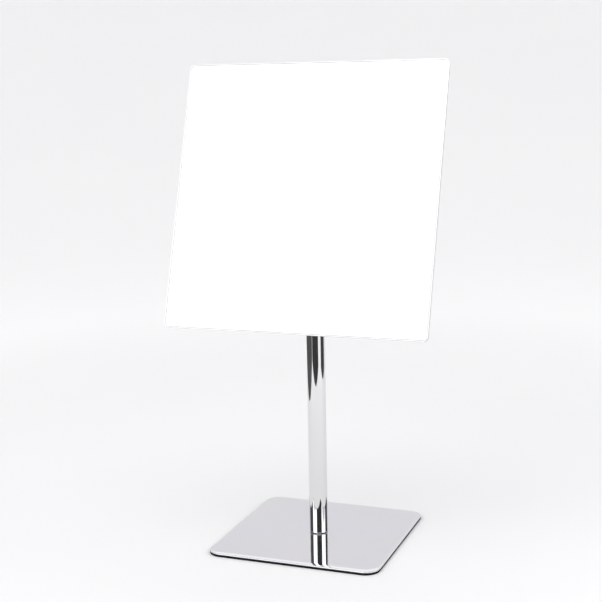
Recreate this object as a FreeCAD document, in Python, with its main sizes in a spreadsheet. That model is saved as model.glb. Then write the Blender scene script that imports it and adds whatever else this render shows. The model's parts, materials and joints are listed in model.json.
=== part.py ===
import FreeCAD, Part
import os

import Sketcher

# Countertop sign stand: a square white face in a thin tray that tilts and swivels on a round post.
# Millimetres. +Z is up, the face looks towards -Y, and the origin is the centre of the base's underside.
# The panel and the tilt joint are drawn upright with the tilt axis through the origin.
# They are then lifted to the axis, and the panel is leaned back.

V = FreeCAD.Vector
FULL_TURN = 360
QUARTER_TURN = 90
TAPE_STRIPS = 4

SIZES = [
    # the base
    ("base_side", 132, "side of the square base plate"),
    ("base_corner", 11, "radius of the base's corners in plan"),
    ("pad_thick", 1.9, "thickness of the non-slip pad"),
    ("pad_inset", 0.15, "how far the pad's edge stands in from the plate's"),
    ("plate_thick", 1.0, "thickness of the base plate at its middle"),
    ("edge_land", 0.1, "upright edge left below the crowned rim"),
    ("crown_width", 5, "width of the rim over which the plate's top curves down"),
    ("nose_radius", 0.7, "small radius at the outer end of the crown"),
    # the post
    ("post_radius", 7, "outside radius of the post and of the swivel head"),
    ("tube_wall", 1.2, "wall of the post tube"),
    ("tube_length", 232.7, "length of the post tube"),
    ("tube_foot_round", 0.8, "rounding at the tube's lower rim"),
    ("seat_thick", 0.3, "thickness of the washer between the post and the plate"),
    ("seat_inset", 0.4, "how far the seat washer stands in from the post"),
    ("stud_radius", 4, "radius of the weld stud, M8"),
    ("stud_length", 18, "height of the weld stud above the plate"),
    ("stud_flange_radius", 5, "radius of the stud's welded flange"),
    ("stud_flange_thick", 0.8, "thickness of the stud's welded flange"),
    ("plug_gap", 1.2, "height of the foot plug's underside above the plate"),
    ("plug_length", 17, "length of the threaded foot plug"),
    # the swivel at the post's top
    ("stem_radius", 4, "radius of the head's stem"),
    ("running_gap", 0.05, "radial clearance of the stem and of the tilt screw"),
    ("bush_length", 22, "length of the bush inside the tube"),
    ("flange_thick", 1.2, "thickness of the bush's flange"),
    ("swivel_washer_thick", 0.8, "thickness of the friction washer under the head"),
    ("washer_inset", 0.1, "how far the friction washer stands in from the post"),
    ("spring_height", 1, "height of the disc spring under the bush"),
    ("spring_thick", 0.5, "thickness of the disc spring"),
    ("spring_radius", 5.3, "outside radius of the disc spring"),
    ("ring_thick", 1, "thickness of the retaining ring"),
    ("ring_radius", 5.2, "outside radius of the retaining ring"),
    ("ring_gap", 3.4, "width of the gap in the retaining ring"),
    ("groove_radius", 3.4, "radius of the stem inside the retaining ring's groove"),
    ("stem_end", 2, "length of the stem below its groove"),
    ("small_chamfer", 0.5, "chamfer on turned ends"),
    # the tilt joint
    ("pivot_height", 256.2, "height of the tilt axis above the table"),
    ("slot_width", 6.2, "width of the slot between the head's ears"),
    ("slot_depth", 8.5, "depth of the slot's floor below the tilt axis"),
    ("spot_face", 5.7, "distance of the ears' spot faces from the middle"),
    ("spot_radius", 4.7, "radius of the ears' spot faces"),
    ("screw_radius", 2, "radius of the tilt screw's shank"),
    ("screw_head_radius", 4, "radius of the tilt screw's head"),
    ("screw_head_thick", 2, "thickness of the tilt screw's head"),
    ("socket_width", 2.5, "width across the flats of the screw's hexagon socket"),
    ("socket_depth", 1.3, "depth of the screw's hexagon socket"),
    ("lock_washer_thick", 0.7, "thickness of the spring washer under the tilt nut"),
    ("lock_washer_radius", 3.9, "outside radius of the spring washer"),
    ("nut_width", 7, "width across the flats of the domed tilt nut"),
    ("nut_thick", 3, "height of the tilt nut's hexagon"),
    ("nut_dome_radius", 2.9, "radius of the tilt nut's dome"),
    ("tilt_washer_radius", 5, "outside radius of the friction washers beside the tongue"),
    # the panel
    ("tilt_rest", 18, "angle that the face leans back, degrees"),
    ("panel_side", 200, "side of the square tray"),
    ("panel_corner", 4, "radius of the tray's corners"),
    ("face_front", 22.5, "distance of the tray's front rim from the tilt axis"),
    ("tray_depth", 4.1, "depth of the tray from its back to its rim"),
    ("tray_sheet", 0.8, "thickness of the tray's sheet metal"),
    ("tray_bend", 1.6, "outside bend radius between the tray's back and its rim"),
    ("face_thick", 2.4, "thickness of the face panel"),
    ("face_gap", 0.1, "clearance between the face panel and the rim"),
    ("face_step", 0.1, "how far the face sits behind the rim's front edge"),
    ("face_chamfer", 0.25, "chamfer round the face panel's front edge"),
    ("tape_width", 14, "width of a strip of mounting tape"),
    ("tape_length", 168, "length of a strip of mounting tape"),
    ("tape_pitch", 46, "distance between strips of mounting tape"),
    ("flange_side", 46, "side of the mount bracket's square flange"),
    ("flange_corner", 6, "corner radius of the bracket's flange"),
    ("bracket_thick", 2.4, "thickness of the bracket's flange"),
    ("tongue_width", 5, "width of the bracket's tongue"),
    ("tongue_radius", 5, "radius of the tongue's round end"),
    ("tongue_root", 9, "half height of the tongue where it leaves the flange"),
    ("fixing_pitch", 33, "distance between the four bracket studs"),
    ("fixing_radius", 1.5, "radius of a bracket stud, M3"),
    ("fixing_head_radius", 2.4, "radius of a bracket stud's clinched head"),
    ("fixing_length", 4.6, "length of a bracket stud behind the tray"),
    ("cap_width", 5.5, "width across the flats of a bracket nut"),
    ("cap_thick", 2.2, "height of a bracket nut's hexagon"),
    ("cap_dome_radius", 2.3, "radius of a bracket nut's dome"),
]


class Size:
    """A length that carries both its number and the expression that the document binds it to."""

    def __init__(self, text, number):
        self.text, self.number = text, number

    @staticmethod
    def of(item):
        return item if isinstance(item, Size) else Size(repr(float(item)), float(item))

    def __add__(self, other):
        other = Size.of(other)
        return Size(f"({self.text} + {other.text})", self.number + other.number)

    def __sub__(self, other):
        other = Size.of(other)
        return Size(f"({self.text} - {other.text})", self.number - other.number)

    def __mul__(self, factor):
        factor = Size.of(factor)
        return Size(f"({self.text} * {factor.text})", self.number * factor.number)

    def __truediv__(self, divisor):
        divisor = Size.of(divisor)
        return Size(f"({self.text} / {divisor.text})", self.number / divisor.number)

    def __neg__(self):
        return self * -1


class Sizes:
    """The spreadsheet's cells as Size values, by alias."""


doc = FreeCAD.newDocument("sign_stand")
sheet = doc.addObject("Spreadsheet::Sheet", "Sizes")
s = Sizes()
for row, (alias, number, note) in enumerate(SIZES, start=1):
    sheet.set(f"A{row}", alias)
    sheet.set(f"B{row}", str(number))
    sheet.set(f"C{row}", note)
    sheet.setAlias(f"B{row}", alias)
    setattr(s, alias, Size(f"Sizes.{alias}", float(number)))
doc.recompute()

# heights along the post
plate_top = s.pad_thick + s.plate_thick
tube_foot = plate_top + s.seat_thick
tube_top = tube_foot + s.tube_length
tube_bore = s.post_radius - s.tube_wall
flange_top = tube_top + s.flange_thick
head_foot = flange_top + s.swivel_washer_thick
bush_foot = tube_top - s.bush_length
stem_bore = s.stem_radius + s.running_gap

# distances in front of the tilt axis
tray_back = s.face_front - s.tray_depth
tray_floor = tray_back + s.tray_sheet
face_surface = s.face_front - s.face_step
face_back = face_surface - s.face_thick
flange_back = tray_back - s.bracket_thick


# ---------------------------------------------------------------- sketches
def bind(feature, prop, size):
    """Bind one property of a feature to the sheet."""
    feature.setExpression(prop, Size.of(size).text)


def new_body(name):
    """A PartDesign body whose Label names its file."""
    body = doc.addObject("PartDesign::Body", name)
    body.Label = name
    return body


def origin_feature(body, role):
    return next(f for f in body.Origin.OriginFeatures if f.Role == role)


def new_sketch(body, plane, offset=0, across=0):
    """An empty sketch on one of the body's own origin planes.

    offset moves it along the plane's normal, and across moves its origin along its own horizontal axis.
    """
    sketch = body.newObject("Sketcher::SketchObject", f"{body.Name}_sketch")
    sketch.AttachmentSupport = [(origin_feature(body, plane), "")]
    sketch.MapMode = "FlatFace"
    bind(sketch, ".AttachmentOffset.Base.z", offset)
    bind(sketch, ".AttachmentOffset.Base.x", across)
    return sketch


def pin_point(sketch, geometry, end, x, y):
    """Fix one point of a sketch at (x, y) from the sketch's origin."""
    for kind, axis, size in (("DistanceX", -2, Size.of(x)), ("DistanceY", -1, Size.of(y))):
        if size.number == 0:
            sketch.addConstraint(Sketcher.Constraint("PointOnObject", geometry, end, axis))
        else:
            index = sketch.addConstraint(Sketcher.Constraint(kind, geometry, end, size.number))
            sketch.setExpression(f"Constraints[{index}]", size.text)


def set_radius(sketch, geometry, radius):
    index = sketch.addConstraint(Sketcher.Constraint("Radius", geometry, radius.number))
    sketch.setExpression(f"Constraints[{index}]", radius.text)


def arc_between(start, end, radius, turn):
    """The minor arc from start to end; turn is 1 for anticlockwise and -1 for clockwise."""
    chord = end - start
    left = V(-chord.y, chord.x, 0).normalize() * turn
    centre = (start + end) / 2 + left * (radius ** 2 - (chord.Length / 2) ** 2) ** 0.5
    return Part.Arc(start, centre - left * radius, end)


def draw_outline(sketch, corners, arcs=()):
    """A closed outline through the corners.

    Its sides are straight, except that (i, radius, turn) in arcs makes the side after corner i an arc.
    """
    places = [V(Size.of(x).number, Size.of(y).number, 0) for x, y in corners]
    arcs = {side: (Size.of(radius), turn) for side, radius, turn in arcs}
    first = sketch.GeometryCount
    count = len(places)
    ends = []
    for i in range(count):
        start, end = places[i], places[(i + 1) % count]
        if i in arcs:
            radius, turn = arcs[i]
            arc = sketch.addGeometry(arc_between(start, end, radius.number, turn), False)
            set_radius(sketch, arc, radius)
            # A sketch stores every arc anticlockwise, so a clockwise side starts at the arc's second end.
            ends.append((1, 2) if turn > 0 else (2, 1))
        else:
            sketch.addGeometry(Part.LineSegment(start, end), False)
            ends.append((1, 2))
    for i in range(count):
        after = (i + 1) % count
        joint = Sketcher.Constraint("Coincident", first + i, ends[i][1], first + after, ends[after][0])
        sketch.addConstraint(joint)
    for i, (x, y) in enumerate(corners):
        pin_point(sketch, first + i, ends[i][0], x, y)


def draw_rectangle(sketch, left, right, low, high):
    draw_outline(sketch, [(left, low), (right, low), (right, high), (left, high)])


def draw_square(sketch, side):
    half = side / 2
    draw_rectangle(sketch, -half, half, -half, half)


def draw_rounded_square(sketch, side, corner):
    """Square outline whose corners are quarter circles."""
    far, near = side / 2, side / 2 - corner
    draw_outline(sketch, [
        (-near, -far), (near, -far), (far, -near), (far, near),
        (near, far), (-near, far), (-far, near), (-far, -near),
    ], [(side_number, corner, 1) for side_number in (1, 3, 5, 7)])


def draw_circle(sketch, x, y, radius):
    centre = V(Size.of(x).number, Size.of(y).number, 0)
    index = sketch.addGeometry(Part.Circle(centre, V(0, 0, 1), radius.number), False)
    pin_point(sketch, index, 3, x, y)
    set_radius(sketch, index, radius)


def draw_hexagon(sketch, x, y, width):
    """A hexagon with two corners on the sketch's horizontal line through (x, y)."""
    x, y = Size.of(x), Size.of(y)
    reach, half = width / 3 ** 0.5, width / 2
    draw_outline(sketch, [
        (x + reach, y), (x + reach / 2, y + half), (x - reach / 2, y + half),
        (x - reach, y), (x - reach / 2, y - half), (x + reach / 2, y - half),
    ])


def draw_dome(sketch, foot, radius, centre_height, way):
    """Half outline of a closed round dome about the sketch's horizontal axis."""
    draw_outline(sketch, [
        (foot * way, centre_height), (foot * way, radius), ((foot + radius) * way, centre_height),
    ], [(1, radius, -way)])


# ---------------------------------------------------------------- features
def add_feature(body, kind, sketch, length, side, reverse):
    doc.recompute()
    feature = body.newObject(f"PartDesign::{kind}", f"{body.Name}_{kind.lower()}")
    feature.Profile = sketch
    feature.SideType = side
    feature.Reversed = reverse
    bind(feature, "Length", length)
    doc.recompute()
    return feature


def pad(body, sketch, length, side="One side", reverse=False):
    """Extrude the sketch along its normal."""
    return add_feature(body, "Pad", sketch, length, side, reverse)


def pocket(body, sketch, length, side="One side", reverse=False):
    """Cut the sketch out against its normal, or along it when reversed."""
    before = body.Shape.Volume
    feature = add_feature(body, "Pocket", sketch, length, side, reverse)
    assert body.Shape.Volume < before, f"{feature.Name} cuts nothing"
    return feature


def turn(body, kind, sketch, axis, angle=FULL_TURN, reverse=False):
    """A Revolution or Groove about one of the sketch's own axes."""
    doc.recompute()
    feature = body.newObject(f"PartDesign::{kind}", f"{body.Name}_{kind.lower()}")
    feature.Profile = sketch
    feature.ReferenceAxis = (sketch, [axis])
    feature.Angle = angle
    feature.Reversed = reverse
    doc.recompute()
    return feature


def dress(body, kind, prop, size, test):
    """Fillet or chamfer the edges that pass the test."""
    base = body.Tip
    names = [f"Edge{i}" for i, edge in enumerate(base.Shape.Edges, start=1) if test(edge)]
    assert names, f"{body.Name}: no edge to dress"
    feature = body.newObject(f"PartDesign::{kind}", f"{body.Name}_{kind.lower()}")
    feature.Base = (base, names)
    bind(feature, prop, size)
    doc.recompute()


def fillet(body, size, test):
    dress(body, "Fillet", "Radius", size, test)


def chamfer(body, size, test):
    dress(body, "Chamfer", "Size", size, test)


def runs_along(direction):
    """Edge test: straight and parallel to the given direction."""
    def test(edge):
        straight = edge.Curve.TypeId == "Part::GeomLine"
        return straight and abs(abs(edge.tangentAt(edge.FirstParameter).dot(direction)) - 1) < 1e-6
    return test


def lies_at(axis, place):
    """Edge test: the whole edge lies where the given coordinate has the given value."""
    def test(edge):
        low, high = getattr(edge.BoundBox, f"{axis}Min"), getattr(edge.BoundBox, f"{axis}Max")
        return abs(low - place) < 1e-4 and abs(high - place) < 1e-4
    return test


def every(*tests):
    return lambda edge: all(test(edge) for test in tests)


def repeat_round(body, features, count):
    """Repeat features about the body's own upright axis."""
    polar = body.newObject("PartDesign::PolarPattern", f"{body.Name}_polar")
    polar.Originals = features
    polar.Axis = (origin_feature(body, "Z_Axis"), [""])
    polar.Angle = FULL_TURN
    polar.Occurrences = count
    body.Tip = polar
    doc.recompute()


def mirror_across(body, features, plane):
    mirrored = body.newObject("PartDesign::Mirrored", f"{body.Name}_mirrored")
    mirrored.Originals = features
    mirrored.MirrorPlane = (origin_feature(body, plane), [""])
    body.Tip = mirrored
    doc.recompute()


def rounded_square(body, side, corner, thickness, plane, offset):
    """A square plate with rounded corners, centred on the body's origin."""
    sketch = new_sketch(body, plane, offset)
    draw_square(sketch, side)
    pad(body, sketch, thickness)
    fillet(body, corner, runs_along(V(0, 0, 1) if plane == "XY_Plane" else V(0, 1, 0)))


def turned(name, outline):
    """A piece turned about the post's axis, from its half outline of (radius, height)."""
    body = new_body(name)
    sketch = new_sketch(body, "XZ_Plane")
    draw_outline(sketch, outline)
    turn(body, "Revolution", sketch, "V_Axis")
    return body


def ring(name, inner, outer, low, high):
    """A flat washer or sleeve about the post's axis."""
    return turned(name, [(inner, low), (outer, low), (outer, high), (inner, high)])


def turned_across(name, outline):
    """A piece turned about the tilt axis, from its half outline of (place along the axis, radius)."""
    body = new_body(name)
    sketch = new_sketch(body, "XZ_Plane")
    draw_outline(sketch, outline)
    turn(body, "Revolution", sketch, "H_Axis")
    return body


def washer_across(name, near, far, inner, outer):
    """A flat washer about the tilt axis."""
    return turned_across(name, [(near, inner), (far, inner), (far, outer), (near, outer)])


def lift_to_pivot(body):
    """Lift a body that is drawn about the origin so that it is about the tilt axis."""
    bind(body, ".Placement.Base.z", s.pivot_height)


def lean_on_pivot(body):
    """Lift a piece of the panel to the tilt axis and lean it back to its rest angle."""
    lift_to_pivot(body)
    body.Placement.Rotation = FreeCAD.Rotation(V(-1, 0, 0), s.tilt_rest.number)
    bind(body, ".Placement.Rotation.Angle", s.tilt_rest)


# ---------------------------------------------------------------- stand
def base_pad():
    """Flat non-slip pad whose edge shows as a dark band under the plate."""
    body = new_body("base_pad")
    side, corner = s.base_side - s.pad_inset * 2, s.base_corner - s.pad_inset
    rounded_square(body, side, corner, s.pad_thick, "XY_Plane", 0)


def draw_crown(sketch, origin):
    """What is cut from the plate's rim: a long shallow crown that runs on into a small nose.

    origin is the distance of the sketch's own origin from the middle of the plate.
    """
    rim = s.base_side / 2 - origin
    start = rim - s.crown_width
    land = s.pad_thick + s.edge_land
    span = s.crown_width - s.nose_radius
    rise = s.plate_thick - s.edge_land
    crown = (span * span + rise * rise - s.nose_radius * s.nose_radius) / ((rise - s.nose_radius) * 2)
    share = crown / (crown - s.nose_radius)
    outside, clear = rim + 1, plate_top + 1
    corners = [
        (start, plate_top),
        (start + span * share, plate_top - crown + (crown - rise) * share),
        (rim, land),
        (outside, land),
        (outside, clear),
        (start, clear),
    ]
    draw_outline(sketch, corners, [(0, crown, -1), (1, s.nose_radius, -1)])


def base_plate():
    """Polished plate: the crown is cut along one side and round one corner, then repeated on the others."""
    body = new_body("base_plate")
    rounded_square(body, s.base_side, s.base_corner, s.plate_thick, "XY_Plane", s.pad_thick)
    straight = new_sketch(body, "XZ_Plane")
    draw_crown(straight, Size.of(0))
    side_cut = pocket(body, straight, s.base_side - s.base_corner * 2, "Symmetric")
    corner_centre = s.base_side / 2 - s.base_corner
    round_corner = new_sketch(body, "XZ_Plane", -corner_centre, corner_centre)
    draw_crown(round_corner, corner_centre)
    before = body.Shape.Volume
    corner_cut = turn(body, "Groove", round_corner, "V_Axis", QUARTER_TURN, reverse=True)
    assert body.Shape.Volume < before, "the corner groove cuts nothing"
    repeat_round(body, [side_cut, corner_cut], 4)


def base_stud():
    """M8 weld stud on the plate; the post's foot plug screws down onto it."""
    top = plate_top + s.stud_length
    shoulder = plate_top + s.stud_flange_thick
    turned("base_stud", [
        (0, plate_top),
        (s.stud_flange_radius, plate_top),
        (s.stud_flange_radius, shoulder),
        (s.stud_radius, shoulder),
        (s.stud_radius, top - s.small_chamfer),
        (s.stud_radius - s.small_chamfer, top),
        (0, top),
    ])


def post_seat_washer():
    """Black washer that keeps the post off the plating."""
    inner, outer = s.stud_flange_radius + s.seat_inset, s.post_radius - s.seat_inset
    ring("post_seat_washer", inner, outer, plate_top, tube_foot)


def post_tube():
    """Polished tube, rounded a little at its lower rim."""
    body = ring("post_tube", tube_bore, s.post_radius, tube_foot, tube_top)
    middle = (tube_bore + s.post_radius).number / 2
    outer_rim = every(lies_at("Z", tube_foot.number), lambda edge: edge.Curve.Radius > middle)
    fillet(body, s.tube_foot_round, outer_rim)


def post_foot_plug():
    """Threaded insert pressed into the tube's lower end."""
    low = plate_top + s.plug_gap
    ring("post_foot_plug", s.stud_radius, tube_bore, low, low + s.plug_length)


def post_top_bush():
    """Flanged bush in the tube's upper end; the head's stem turns in it."""
    turned("post_top_bush", [
        (stem_bore, bush_foot),
        (tube_bore - s.small_chamfer, bush_foot),
        (tube_bore, bush_foot + s.small_chamfer),
        (tube_bore, tube_top),
        (s.post_radius, tube_top),
        (s.post_radius, flange_top),
        (stem_bore, flange_top),
    ])


def swivel_washer():
    """Friction washer that the head turns on."""
    ring("swivel_washer", stem_bore, s.post_radius - s.washer_inset, flange_top, head_foot)


# ---------------------------------------------------------------- head
def head_clevis():
    """Turned head: a stem that turns in the bush, and two ears that hold the tilt screw."""
    groove_top = bush_foot - s.spring_height
    groove_foot = groove_top - s.ring_thick
    stem_foot = groove_foot - s.stem_end
    head_top = s.pivot_height + s.post_radius
    body = turned("head_clevis", [
        (0, stem_foot),
        (s.stem_radius - s.small_chamfer, stem_foot),
        (s.stem_radius, stem_foot + s.small_chamfer),
        (s.stem_radius, groove_foot),
        (s.groove_radius, groove_foot),
        (s.groove_radius, groove_top),
        (s.stem_radius, groove_top),
        (s.stem_radius, head_foot),
        (s.post_radius, head_foot),
        (s.post_radius, head_top),
        (0, head_top),
    ])
    far, across = s.post_radius + 1, s.post_radius * 2
    for way in (1, -1):
        trim = new_sketch(body, "YZ_Plane")
        draw_outline(trim, [
            (s.post_radius * way, s.pivot_height),
            (far * way, s.pivot_height),
            (far * way, s.pivot_height + far),
            (0, s.pivot_height + far),
            (0, head_top),
        ], [(4, s.post_radius, -way)])
        pocket(body, trim, across, "Symmetric")
    slot = new_sketch(body, "YZ_Plane")
    draw_rectangle(slot, -far, far, s.pivot_height - s.slot_depth, s.pivot_height + far)
    pocket(body, slot, s.slot_width, "Symmetric")
    spot = new_sketch(body, "YZ_Plane", s.spot_face)
    draw_circle(spot, 0, s.pivot_height, s.spot_radius)
    spot_cut = pocket(body, spot, s.post_radius, reverse=True)
    mirror_across(body, [spot_cut], "YZ_Plane")
    bore = new_sketch(body, "YZ_Plane")
    draw_circle(bore, 0, s.pivot_height, s.screw_radius)
    pocket(body, bore, across, "Symmetric")


def swivel_spring():
    """Disc spring between the bush and the retaining ring; it gives the swivel its friction."""
    low = bush_foot - s.spring_height
    turned("swivel_spring", [
        (stem_bore, bush_foot - s.spring_thick),
        (s.spring_radius, low),
        (s.spring_radius, low + s.spring_thick),
        (stem_bore, bush_foot),
    ])


def swivel_ring():
    """Retaining ring in the stem's groove, with a gap to spring it on."""
    high = bush_foot - s.spring_height
    low = high - s.ring_thick
    body = ring("swivel_ring", s.groove_radius, s.ring_radius, low, high)
    gap = new_sketch(body, "XY_Plane", low)
    draw_rectangle(gap, -s.ring_gap / 2, s.ring_gap / 2, -s.post_radius, 0)
    pocket(body, gap, s.ring_thick, reverse=True)


def tilt_screw():
    """Shoulder screw: its shank is the tilt axle, and its low head has a hexagon socket."""
    head_end = s.spot_face + s.screw_head_thick
    tip = -(s.spot_face + s.lock_washer_thick + s.nut_thick)
    body = turned_across("tilt_screw", [
        (tip, 0),
        (tip, s.screw_radius - s.small_chamfer),
        (tip + s.small_chamfer, s.screw_radius),
        (s.spot_face, s.screw_radius),
        (s.spot_face, s.screw_head_radius),
        (head_end - s.small_chamfer, s.screw_head_radius),
        (head_end, s.screw_head_radius - s.small_chamfer),
        (head_end, 0),
    ])
    socket = new_sketch(body, "YZ_Plane", head_end)
    draw_hexagon(socket, 0, 0, s.socket_width)
    pocket(body, socket, s.socket_depth)
    lift_to_pivot(body)


def tilt_lock_washer():
    """Spring washer between the ear and the domed nut."""
    near, far = -s.spot_face, -(s.spot_face + s.lock_washer_thick)
    lift_to_pivot(washer_across("tilt_lock_washer", far, near, s.screw_radius, s.lock_washer_radius))


def tilt_washers():
    """Two friction washers that fill the slot on both sides of the tongue."""
    body = new_body("tilt_washers")
    far, near = s.slot_width / 2, s.tongue_width / 2
    inner, outer = s.screw_radius, s.tilt_washer_radius
    for way in (1, -1):
        sketch = new_sketch(body, "XZ_Plane")
        draw_outline(sketch, [
            (near * way, inner), (far * way, inner), (far * way, outer), (near * way, outer),
        ])
        turn(body, "Revolution", sketch, "H_Axis")
    lift_to_pivot(body)


def tilt_nut():
    """Domed hexagon nut on the tilt screw."""
    body = new_body("tilt_nut")
    seat = s.spot_face + s.lock_washer_thick
    hexagon = new_sketch(body, "YZ_Plane", -seat)
    draw_hexagon(hexagon, 0, 0, s.nut_width)
    pad(body, hexagon, s.nut_thick, reverse=True)
    dome = new_sketch(body, "XZ_Plane")
    draw_dome(dome, seat + s.nut_thick, s.nut_dome_radius, 0, -1)
    turn(body, "Revolution", dome, "H_Axis")
    bore = new_sketch(body, "YZ_Plane", -seat)
    draw_circle(bore, 0, 0, s.screw_radius)
    pocket(body, bore, s.nut_thick)
    lift_to_pivot(body)


# ---------------------------------------------------------------- panel
def fixing_places():
    """Where the four bracket fixings are, as (across, up) in the panel's own plane."""
    half = s.fixing_pitch / 2
    return [(half * x, half * z) for x in (-1, 1) for z in (-1, 1)]


def mount_bracket():
    """Square flange behind the tray, with the tongue that the tilt screw passes through."""
    body = new_body("mount_bracket")
    rounded_square(body, s.flange_side, s.flange_corner, s.bracket_thick, "XZ_Plane", flange_back)
    tongue = new_sketch(body, "YZ_Plane")
    radius, root = s.tongue_radius, s.tongue_root
    draw_outline(tongue, [
        (-flange_back - s.bracket_thick / 2, -root),
        (-flange_back, -root),
        (0, -radius),
        (radius, 0),
        (0, radius),
        (-flange_back, root),
        (-flange_back - s.bracket_thick / 2, root),
    ], [(2, radius, 1), (3, radius, 1)])
    pad(body, tongue, s.tongue_width, "Symmetric")
    bore = new_sketch(body, "YZ_Plane")
    draw_circle(bore, 0, 0, s.screw_radius + s.running_gap)
    pocket(body, bore, s.tongue_width * 2, "Symmetric")
    holes = new_sketch(body, "XZ_Plane", flange_back)
    for x, z in fixing_places():
        draw_circle(holes, x, z, s.fixing_radius)
    pocket(body, holes, s.bracket_thick, reverse=True)
    lean_on_pivot(body)


def back_tray():
    """Sheet-metal tray: a flat back and a thin rim that frames the face."""
    body = new_body("back_tray")
    rounded_square(body, s.panel_side, s.panel_corner, s.tray_depth, "XZ_Plane", tray_back)
    back_edge = lies_at("Y", -tray_back.number)
    fillet(body, s.tray_bend, back_edge)
    well = new_sketch(body, "XZ_Plane", s.face_front)
    draw_rounded_square(well, s.panel_side - s.tray_sheet * 2, s.panel_corner - s.tray_sheet)
    pocket(body, well, s.tray_depth - s.tray_sheet)
    holes = new_sketch(body, "XZ_Plane", tray_back)
    for x, z in fixing_places():
        draw_circle(holes, x, z, s.fixing_head_radius)
    pocket(body, holes, s.tray_sheet, reverse=True)
    lean_on_pivot(body)


def bracket_studs():
    """Four clinch studs: flat heads in the tray's back, shanks through the bracket."""
    body = new_body("bracket_studs")
    heads = new_sketch(body, "XZ_Plane", tray_back)
    for x, z in fixing_places():
        draw_circle(heads, x, z, s.fixing_head_radius)
    pad(body, heads, s.tray_sheet)
    shanks = new_sketch(body, "XZ_Plane", tray_back)
    for x, z in fixing_places():
        draw_circle(shanks, x, z, s.fixing_radius)
    pad(body, shanks, s.fixing_length, reverse=True)
    lean_on_pivot(body)


def bracket_nuts():
    """Four domed nuts that clamp the bracket to the tray."""
    body = new_body("bracket_nuts")
    hexagons = new_sketch(body, "XZ_Plane", flange_back)
    for x, z in fixing_places():
        draw_hexagon(hexagons, x, z, s.cap_width)
    pad(body, hexagons, s.cap_thick, reverse=True)
    outer = flange_back - s.cap_thick
    for x, z in fixing_places():
        dome = new_sketch(body, "YZ_Plane", x)
        draw_outline(dome, [
            (-outer, z), (-outer, z + s.cap_dome_radius), (s.cap_dome_radius - outer, z),
        ], [(1, s.cap_dome_radius, -1)])
        turn_dome(body, dome)
    bore = new_sketch(body, "XZ_Plane", flange_back)
    for x, z in fixing_places():
        draw_circle(bore, x, z, s.fixing_radius)
    pocket(body, bore, s.cap_thick)
    lean_on_pivot(body)


def turn_dome(body, dome):
    """Revolve a half dome about the straight side along its middle."""
    doc.recompute()
    feature = body.newObject("PartDesign::Revolution", f"{body.Name}_dome")
    feature.Profile = dome
    feature.ReferenceAxis = (dome, ["Edge3"])
    feature.Angle = FULL_TURN
    doc.recompute()


def mounting_tape():
    """Upright strips of foam tape that hold the face in the tray."""
    body = new_body("mounting_tape")
    sketch = new_sketch(body, "XZ_Plane", tray_floor)
    half_width, half_length = s.tape_width / 2, s.tape_length / 2
    for strip in range(TAPE_STRIPS):
        middle = s.tape_pitch * (strip - (TAPE_STRIPS - 1) / 2)
        draw_rectangle(sketch, middle - half_width, middle + half_width, -half_length, half_length)
    pad(body, sketch, face_back - tray_floor)
    lean_on_pivot(body)


def face_panel():
    """Blank face whose front edge is lightly chamfered."""
    body = new_body("face_panel")
    side = s.panel_side - (s.tray_sheet + s.face_gap) * 2
    corner = s.panel_corner - s.tray_sheet - s.face_gap
    rounded_square(body, side, corner, s.face_thick, "XZ_Plane", face_back)
    chamfer(body, s.face_chamfer, lies_at("Y", -face_surface.number))
    lean_on_pivot(body)


# ---------------------------------------------------------------- build, check and write
for build_piece in (
    base_pad, base_plate, base_stud,
    post_seat_washer, post_tube, post_foot_plug, post_top_bush, swivel_washer,
    head_clevis, swivel_spring, swivel_ring, tilt_screw, tilt_lock_washer, tilt_washers, tilt_nut,
    mount_bracket, back_tray, bracket_studs, bracket_nuts, mounting_tape, face_panel,
):
    build_piece()
doc.recompute()

for item in doc.Objects:
    faults = {"Invalid", "Error"} & set(item.State)
    assert not faults, f"{item.Name} failed: {item.State}"
pieces = [item for item in doc.Objects if item.TypeId == "PartDesign::Body"]
for piece in pieces:
    shape = piece.Shape
    assert not shape.isNull() and shape.isValid(), f"{piece.Label} has no valid shape"

os.makedirs("parts", exist_ok=True)
for piece in pieces:
    piece.Shape.exportStep(f"parts/{piece.Label}.step")
    box = piece.Shape.BoundBox
    print(f"{piece.Label}: {len(piece.Shape.Solids)} solid(s), {piece.Shape.Volume:.1f} mm3,")
    print(f"    x {box.XMin:.2f}..{box.XMax:.2f}, y {box.YMin:.2f}..{box.YMax:.2f},")
    print(f"    z {box.ZMin:.2f}..{box.ZMax:.2f}")
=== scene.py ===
import json
import math

import bmesh
import bpy
from mathutils import Matrix, Vector


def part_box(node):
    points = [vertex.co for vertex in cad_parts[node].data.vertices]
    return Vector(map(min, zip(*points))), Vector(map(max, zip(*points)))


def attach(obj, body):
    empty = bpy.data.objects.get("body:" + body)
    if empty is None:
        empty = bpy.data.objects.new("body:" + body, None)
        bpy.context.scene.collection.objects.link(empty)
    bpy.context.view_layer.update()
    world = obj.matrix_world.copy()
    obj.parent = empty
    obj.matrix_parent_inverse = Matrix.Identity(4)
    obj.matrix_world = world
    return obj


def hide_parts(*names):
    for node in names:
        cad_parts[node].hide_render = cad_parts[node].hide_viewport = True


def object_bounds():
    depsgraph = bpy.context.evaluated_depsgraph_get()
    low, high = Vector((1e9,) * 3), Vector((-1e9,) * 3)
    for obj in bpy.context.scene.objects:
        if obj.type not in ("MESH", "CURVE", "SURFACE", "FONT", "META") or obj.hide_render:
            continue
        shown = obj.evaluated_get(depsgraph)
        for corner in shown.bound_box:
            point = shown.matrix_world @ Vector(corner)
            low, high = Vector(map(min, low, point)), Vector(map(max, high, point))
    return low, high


# Looks of the countertop sign stand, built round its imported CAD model. Metres, +Z up, face towards -Y.

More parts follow.
